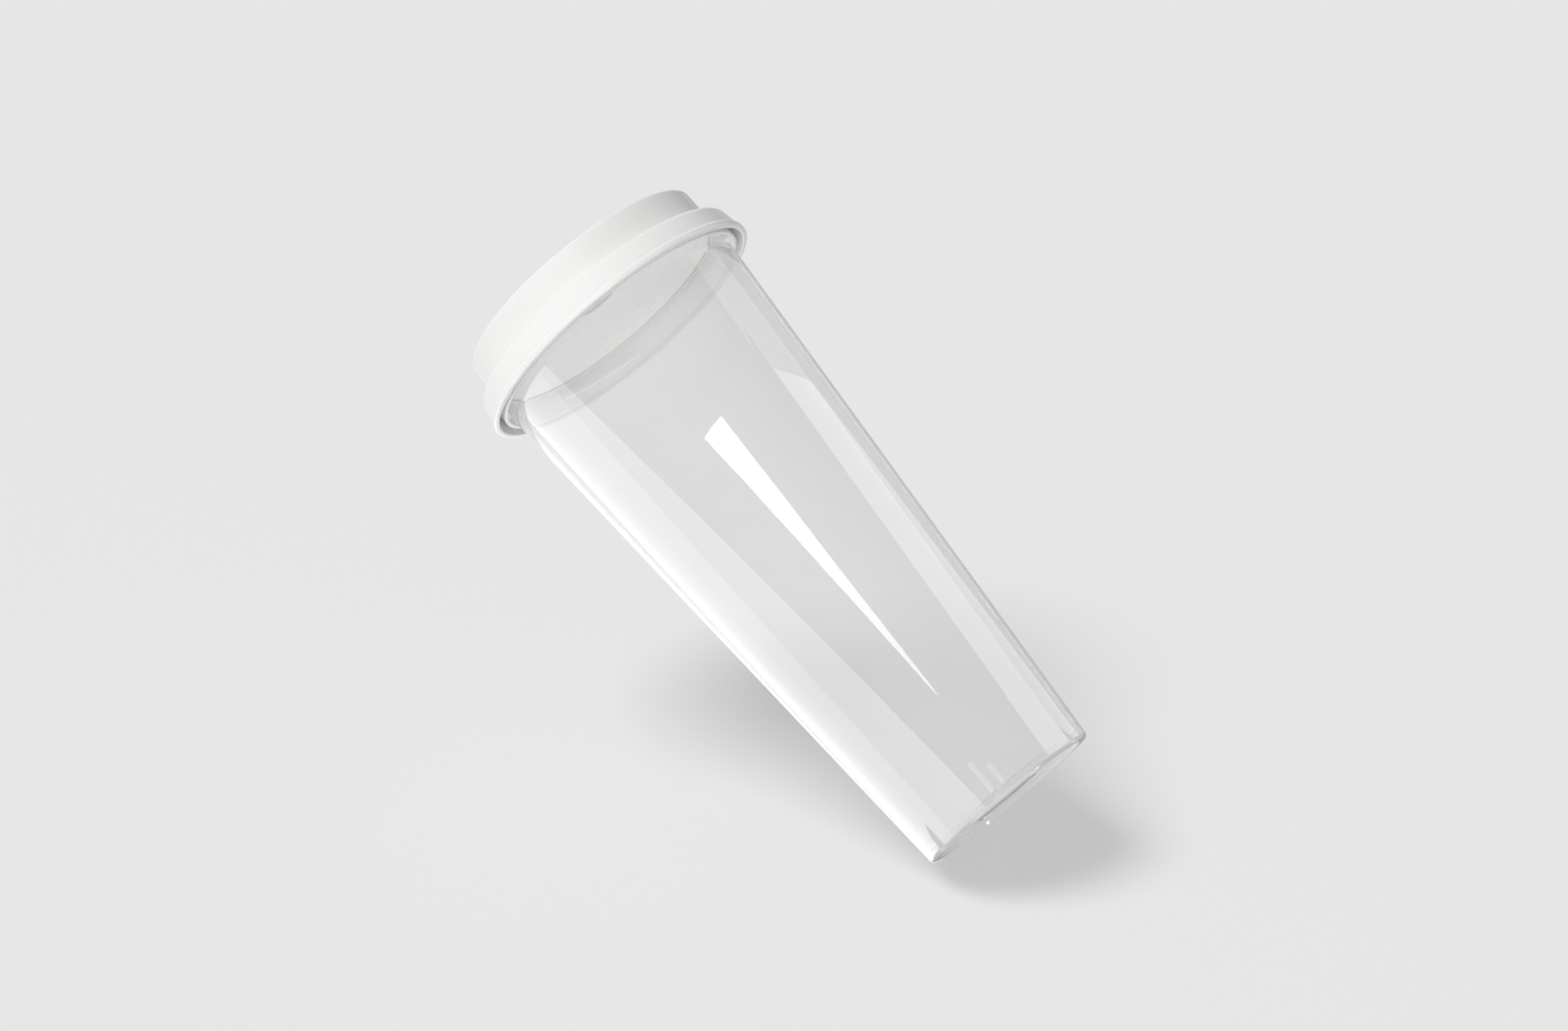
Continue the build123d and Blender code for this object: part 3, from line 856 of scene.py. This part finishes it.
class SHAKER_OT_cap(bpy.types.Operator):
    """Makes the flip cap with its arm, hub, thumb tab and grip ribs"""

    bl_idname = "shaker.cap"
    bl_label = "Flip cap"

    def execute(self, context):
        size = context.scene.shaker_cap
        white = finish("Satin white polypropylene")
        outer = size.cavity_r + size.wall
        under = CAP_TOP_Z - size.top
        # The last three corners are a shallow dish in the cap's top.
        cap = round_spout([
            (0, CAP_BOTTOM_Z, 0), (outer, CAP_BOTTOM_Z, 0.4), (outer, CAP_TOP_Z, size.edge_r),
            (7.6, CAP_TOP_Z, 0.3), (6.8, CAP_TOP_Z - 0.35, 0.6), (0, CAP_TOP_Z - 0.5, 0)],
            "flip_cap_shell", white, 128)
        arm = plate(self.arm_outline(outer, under), -size.arm_w / 2, size.arm_w / 2, "arm")
        hub = rod(size.hub_r, -size.arm_w / 2, size.arm_w / 2, HINGE_Y, HINGE_Z, "hub")
        tab_y = SPOUT_Y + outer
        tab_bottom = CAP_BOTTOM_Z + 0.4
        tab_top = tab_bottom + size.tab_t
        tab = block((-size.tab_w / 2, tab_y - 1.5, tab_bottom),
                    (size.tab_w / 2, tab_y + size.tab_l, tab_top), "tab", 0.5)
        rib = rod(size.grip_r, -size.grip_w / 2, size.grip_w / 2, 0, 0, "ribs", 24)
        ribs = row_of_bars(rib, size.grip_count, size.grip_step, white)
        combine(cap, [arm, hub, tab, moved(ribs, tab_y + size.tab_l / 2, tab_top)], "UNION")
        hollow_z = CAP_BOTTOM_Z - PAST
        hollow = round_spout([
            (0, hollow_z, 0), (size.cavity_r, hollow_z, 0), (size.cavity_r, under, 0),
            (0, under, 0)], "hollow", white, 128)
        pin_hole = rod(HUB_HOLE_R, -size.arm_w, size.arm_w, HINGE_Y, HINGE_Z, "pin_hole")
        combine(cap, [hollow, pin_hole], "DIFFERENCE")
        shade(wear(facing_front(cap), "Satin white polypropylene"))
        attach(cap, "flip_cap")
        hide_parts("flip_cap")
        return {"FINISHED"}

    def arm_outline(self, outer, under):
        """The arm seen from its side, from the hub to the shell, as (y, z) points."""
        inside = SPOUT_Y - 8.6
        return [(HINGE_Y - 2.4, HINGE_Z + 1.6), (HINGE_Y + 1.6, under - 0.8),
                (HINGE_Y + 4.4, CAP_TOP_Z), (inside, CAP_TOP_Z), (inside, CAP_BOTTOM_Z),
                (SPOUT_Y - outer + 1, CAP_BOTTOM_Z), (HINGE_Y + 2.8, HINGE_Z - 0.6)]


class SHAKER_OT_pin(bpy.types.Operator):
    """Gives the hinge pin its drawn steel finish"""

    bl_idname = "shaker.pin"
    bl_label = "Hinge pin"

    def execute(self, context):
        pin = bpy.data.objects["hinge_pin"]
        for slot in pin.material_slots:
            slot.material = finish("Drawn stainless steel")
        return {"FINISHED"}


# ---------------------------------------------------------------- stage

def camera_axes(stage):
    """Right, up and backward directions of the camera in the bottle's frame."""
    turn = radians(stage.azimuth)
    rise = radians(stage.elevation)
    ahead = Vector((sin(turn) * cos(rise), cos(turn) * cos(rise), -sin(rise)))
    level = ahead.cross(Vector((0, 0, 1))).normalized()
    over = level.cross(ahead)
    lean = radians(stage.lean)
    up = over * cos(lean) + level * sin(lean)
    right = level * cos(lean) - over * sin(lean)
    return right, up, -ahead


# Cards that gloss mirrors, on drums about the bottle's axis. Each has its corners as azimuth
# from the front in degrees and height in millimetres: lower left, lower right, upper left,
# upper right. Then its brightness and the drum's radius in millimetres. The cup mirrors those
# below 335 mm and the lid those above.
CARDS = {
    "dark_front": (((-20.0, -160), (64.6, -160), (-68.0, 335), (91.0, 335)), 0.45, 720.0),
    "left_step": (((-80.0, -160), (-20.0, -160), (-76.0, 335), (-68.0, 335)), 2.7, 715.0),
    "left_band": (((-160.0, -160), (-80.0, -160), (-130.0, 335), (-76.0, 335)), 3.6, 710.0),
    "left_edge": (((-176.0, -160), (-160.0, -160), (-176.0, 335), (-130.0, 335)), 1.7, 710.0),
    "right_step": (((64.6, -160), (100.0, -160), (80.0, 235), (118.0, 235)), 3.0, 710.0),
    "right_band": (((100.0, -160), (140.0, -160), (118.0, 235), (119.0, 235)), 1.9, 710.0),
    "right_top": (((80.0, 235), (119.0, 235), (88.0, 335), (119.0, 335)), 1.4, 710.0),
    "right_edge": (((150.0, -20), (176.0, -20), (155.0, 560), (178.0, 560)), 0.5, 710.0),
    "behind_low": (((100.0, -360), (260.0, -360), (100.0, -30), (260.0, -30)), 0.25, 705.0),
    "lid_left": (((-170.0, 335), (-68.0, 335), (-170.0, 560), (-68.0, 560)), 0.9, 710.0),
    "lid_front": (((-68.0, 335), (16.0, 335), (-68.0, 560), (16.0, 560)), 0.6, 710.0),
    "lid_right": (((16.0, 335), (150.0, 335), (16.0, 560), (150.0, 560)), 0.15, 700.0),
    "wedge": (((10.3, -22), (11.5, -22), (-4.0, 202), (19.2, 207)), 8.0, 690.0),
    "drum_patch": (((-30.0, 330), (15.8, 330), (-30.0, 440), (15.8, 440)), 2.6, 690.0),
}
# The walls' inner sides mirror this card too.
MIRRORED_INSIDE = "dark_front"
CARD_STEPS = 24


def hide_from(made, *rays):
    """Keeps an object out of the kinds of ray that are named."""
    for ray in rays:
        setattr(made, "visible_" + ray, False)


def card_glow(tree, strength):
    """A card's light: open to whoever looks straight through the cup, it shows in gloss alone."""
    return add(tree, "ShaderNodeMixShader", {
        0: add(tree, "ShaderNodeLightPath").outputs["Glossy Depth"],
        1: add(tree, "ShaderNodeBsdfTransparent"),
        2: add(tree, "ShaderNodeEmission", {"Strength": strength})})


def card(name, corners, strength, radius):
    """One curved card that only gloss sees, spread evenly between its four corners."""
    verts = []
    for left, right in (corners[:2], corners[2:]):
        for step in range(CARD_STEPS + 1):
            azimuth, z = (low + (high - low) * step / CARD_STEPS for low, high in zip(left, right))
            angle = radians(azimuth)
            verts.append((radius * sin(angle) * MM, -radius * cos(angle) * MM, z * MM))
    row = CARD_STEPS + 1
    faces = [(i, i + 1, i + row + 1, i + row) for i in range(CARD_STEPS)]
    mesh = bpy.data.meshes.new("card_" + name)
    mesh.from_pydata(verts, [], faces)
    made = link(mesh, "card_" + name)
    material = new_finish("Card " + name, card_glow, strength)
    material.cycles.emission_sampling = "NONE"
    mesh.materials.append(material)
    hide_from(made, "camera", "diffuse", "shadow")
    made.visible_transmission = name == MIRRORED_INSIDE


def backdrop_world(stage_colour, brighter_side, stage):
    """A pale world: plain to the eye and in gloss, and a soft dome as light."""
    world = bpy.data.worlds.new("Pale studio")
    bpy.context.scene.world = world
    world.use_nodes = True
    # Light is gathered by the surfaces alone, so that the dome is told from the plain side.
    world.cycles.sampling_method = "NONE"
    tree = world.node_tree
    tree.nodes.clear()
    plain_side = add(tree, "ShaderNodeBackground", {"Color": stage_colour, "Strength": 1.0})
    direction = add(tree, "ShaderNodeTexCoord").outputs["Generated"]
    towards = add(tree, "ShaderNodeVectorMath", {0: direction, 1: brighter_side},
                  operation="DOT_PRODUCT")
    strength = add(tree, "ShaderNodeMapRange", {
        "Value": towards.outputs["Value"], "From Min": -1.0,
        "To Min": stage.dome_level - stage.dome_spread,
        "To Max": stage.dome_level + stage.dome_spread})
    dome = add(tree, "ShaderNodeBackground", {"Color": (1.0,) * 4, "Strength": strength})
    surface = add(tree, "ShaderNodeMixShader", {
        0: add(tree, "ShaderNodeLightPath").outputs["Is Diffuse Ray"], 1: plain_side, 2: dome})
    add(tree, "ShaderNodeOutputWorld", {"Surface": surface})


def floor_axes(stage):
    """The floor's upward normal, the way across it towards the camera, and to its right."""
    right, up, back = camera_axes(stage)
    tilt = radians(stage.floor_tilt)
    return up * cos(tilt) + back * sin(tilt), back * cos(tilt) - up * sin(tilt), right


def sun_direction(stage):
    """Where the sun stands, from the floor."""
    normal, nearer, right = floor_axes(stage)
    slant = radians(stage.sun_slant)
    side = radians(stage.sun_side)
    return (normal * cos(slant) + nearer * sin(slant)) * cos(side) - right * sin(side)


FLOOR_HALF = 4.0  # half the floor's width, in metres
FLOOR_FADE = (0.8, 3.5)  # where it begins to open and is wholly open, in metres from the foot
EDGE_INSET = 0.4  # the foot's edge is rounded, so it stands a little inside its radius, in mm
FLOOR_GAP = 0.15  # between the foot's edge and the floor, in mm


def studio_paper(tree, paper, centre):
    """Matt pale paper that opens far from its centre and to whoever looks from behind."""
    place = add(tree, "ShaderNodeTexCoord").outputs["Object"]
    away = add(tree, "ShaderNodeVectorMath", {0: place, 1: centre}, operation="DISTANCE")
    fade = add(tree, "ShaderNodeMapRange", {
        "Value": away.outputs["Value"], "From Min": FLOOR_FADE[0], "From Max": FLOOR_FADE[1]},
        interpolation_type="SMOOTHSTEP")
    behind = add(tree, "ShaderNodeNewGeometry").outputs["Backfacing"]
    return add(tree, "ShaderNodeMixShader", {
        0: add(tree, "ShaderNodeMath", {0: fade, 1: behind}, operation="MAXIMUM"),
        1: add(tree, "ShaderNodeBsdfDiffuse", {"Color": paper}),
        2: add(tree, "ShaderNodeBsdfTransparent")})


def studio_floor(stage, backdrop, brighter_side):
    """A pale floor under the leaning bottle, fading out and open from behind."""
    normal, _, _ = floor_axes(stage)
    outward = Vector((normal.x, normal.y, 0)).normalized()
    touch = -outward * (bpy.context.scene.shaker_cup.base_r - EDGE_INSET)
    centre = (touch - normal * FLOOR_GAP) * MM
    # Light that falls on the open floor, so that its colour makes it as bright as the backdrop.
    # A flat face gathers 2/3 of the dome's slope along its normal.
    dome = stage.dome_level + stage.dome_spread * 2 / 3 * normal.dot(brighter_side)
    light = dome + stage.sun_level * normal.dot(sun_direction(stage))
    paper = [channel / light for channel in linear(backdrop)[:3]] + [1.0]
    work = bmesh.new()
    place = Matrix.Translation(centre) @ normal.to_track_quat("Z", "Y").to_matrix().to_4x4()
    bmesh.ops.create_grid(work, x_segments=2, y_segments=2, size=FLOOR_HALF, matrix=place)
    made = from_work(work, "floor")
    made.data.materials.append(new_finish("Pale studio paper", studio_paper, paper, centre))
    hide_from(made, "glossy")


def lamp(name, towards, level, spread):
    """A sun lamp that stands in a direction and that gloss doesn't mirror."""
    data = bpy.data.lights.new(name, "SUN")
    # A sun of strength pi gives a white sheet that faces it a brightness of 1.
    data.energy = level * pi
    data.angle = radians(spread)
    made = link(data, name)
    made.rotation_euler = towards.to_track_quat("Z", "Y").to_euler()
    hide_from(made, "glossy", "transmission")
    return made


FLAG_Z = SKIRT_BOTTOM_Z - 1.5  # just under the skirt
FLAG_INNER_PLAY = 0.3  # from the neck
FLAG_OUTER_PLAY = 1.0  # out past the skirt's edge


def skirt_flag():
    """A ring that keeps the lamp below out of the gap between the cup and the skirt."""
    work = bmesh.new()
    for radius in (LIP_R + FLAG_OUTER_PLAY, neck_r() + FLAG_INNER_PLAY):
        bmesh.ops.create_circle(work, segments=96, radius=radius * MM,
                                matrix=Matrix.Translation((0, 0, FLAG_Z * MM)))
    bmesh.ops.bridge_loops(work, edges=work.edges)
    made = from_work(work, "skirt_flag")
    hide_from(made, "camera", "diffuse", "glossy", "transmission")
    return made


# Pieces whose undersides show through the cup, and where the lamp that lights them stands.
LIT_FROM_BELOW = ("lid_shell", "rim_seal", "spout_plug", "flip_cap_shell")
BELOW = Vector((0, -0.35, -1))


def fill_lamp(stage):
    """A weak lamp from below, which lights the lid alone and which the clear cup lets by."""
    made = lamp("fill_lamp", BELOW, stage.fill_level, stage.sun_spread)
    lit = bpy.data.collections.new("Lit from below")
    lit.objects.link(skirt_flag())
    for piece in bpy.context.scene.collection.objects:
        if piece.name.split(".")[0] in LIT_FROM_BELOW:
            lit.objects.link(piece)
    made.light_linking.receiver_collection = lit
    made.light_linking.blocker_collection = lit


class SHAKER_OT_stage(bpy.types.Operator):
    """Sets the camera, the two lamps, the cards, the floor and the pale backdrop"""

    bl_idname = "shaker.stage"
    bl_label = "Studio"

    def execute(self, context):
        scene = context.scene
        stage = scene.shaker_stage
        right, up, back = camera_axes(stage)
        data = bpy.data.cameras.new("Camera")
        data.lens = stage.lens
        data.sensor_width = 36.0
        data.clip_start = 0.01
        camera = link(data, "Camera")
        place = (Vector(stage.aim) + back * stage.distance) * MM
        turn = Matrix((right, up, back)).transposed().to_4x4()
        camera.matrix_world = Matrix.Translation(place) @ turn
        scene.camera = camera
        scene.view_settings.view_transform = "Standard"
        # Light crosses many faces of clear plastic before it leaves the cup's foot.
        scene.cycles.max_bounces = 24
        scene.cycles.transmission_bounces = 24
        scene.cycles.glossy_bounces = 12
        scene.cycles.transparent_max_bounces = 24
        # The dome is brightest behind the camera, to its left and a little below it.
        brighter_side = (back - right * 1.3 - up * 0.5).normalized()
        backdrop_world(linear(scene.shaker_finish.backdrop), brighter_side, stage)
        studio_floor(stage, scene.shaker_finish.backdrop, brighter_side)
        for name, settings in CARDS.items():
            card(name, *settings)
        lamp("soft_sun", sun_direction(stage), stage.sun_level, stage.sun_spread)
        fill_lamp(stage)
        return {"FINISHED"}


class SHAKER_PT_panel(bpy.types.Panel):
    """Lists the pieces of the shaker bottle and their sizes"""

    bl_idname = "SHAKER_PT_panel"
    bl_label = "Shaker bottle"
    bl_space_type = "VIEW_3D"
    bl_region_type = "UI"
    bl_category = "Shaker"

    def draw(self, context):
        for name, group in GROUPS.items():
            box = self.layout.box()
            box.label(text=group.__doc__)
            for key in group.__annotations__:
                box.prop(getattr(context.scene, name), key)
        for operator in OPERATORS:
            self.layout.operator(operator.bl_idname, text=operator.bl_label)


OPERATORS = (SHAKER_OT_cup, SHAKER_OT_lid, SHAKER_OT_seals, SHAKER_OT_cap, SHAKER_OT_pin,
             SHAKER_OT_stage)


def register():
    """Registers the classes and hangs the sizes on the scene."""
    for group in (*GROUPS.values(), *OPERATORS, SHAKER_PT_panel):
        bpy.utils.register_class(group)
    for name, group in GROUPS.items():
        setattr(bpy.types.Scene, name, bpy.props.PointerProperty(type=group))


def unregister():
    """Takes the sizes off the scene and unregisters the classes."""
    for name in GROUPS:
        delattr(bpy.types.Scene, name)
    for group in reversed((*GROUPS.values(), *OPERATORS, SHAKER_PT_panel)):
        bpy.utils.unregister_class(group)


def main():
    """Builds every piece and the stage."""
    register()
    bpy.ops.shaker.cup()
    bpy.ops.shaker.lid()
    bpy.ops.shaker.seals()
    bpy.ops.shaker.cap()
    bpy.ops.shaker.pin()
    bpy.ops.shaker.stage()


if __name__ == "__main__":
    main()
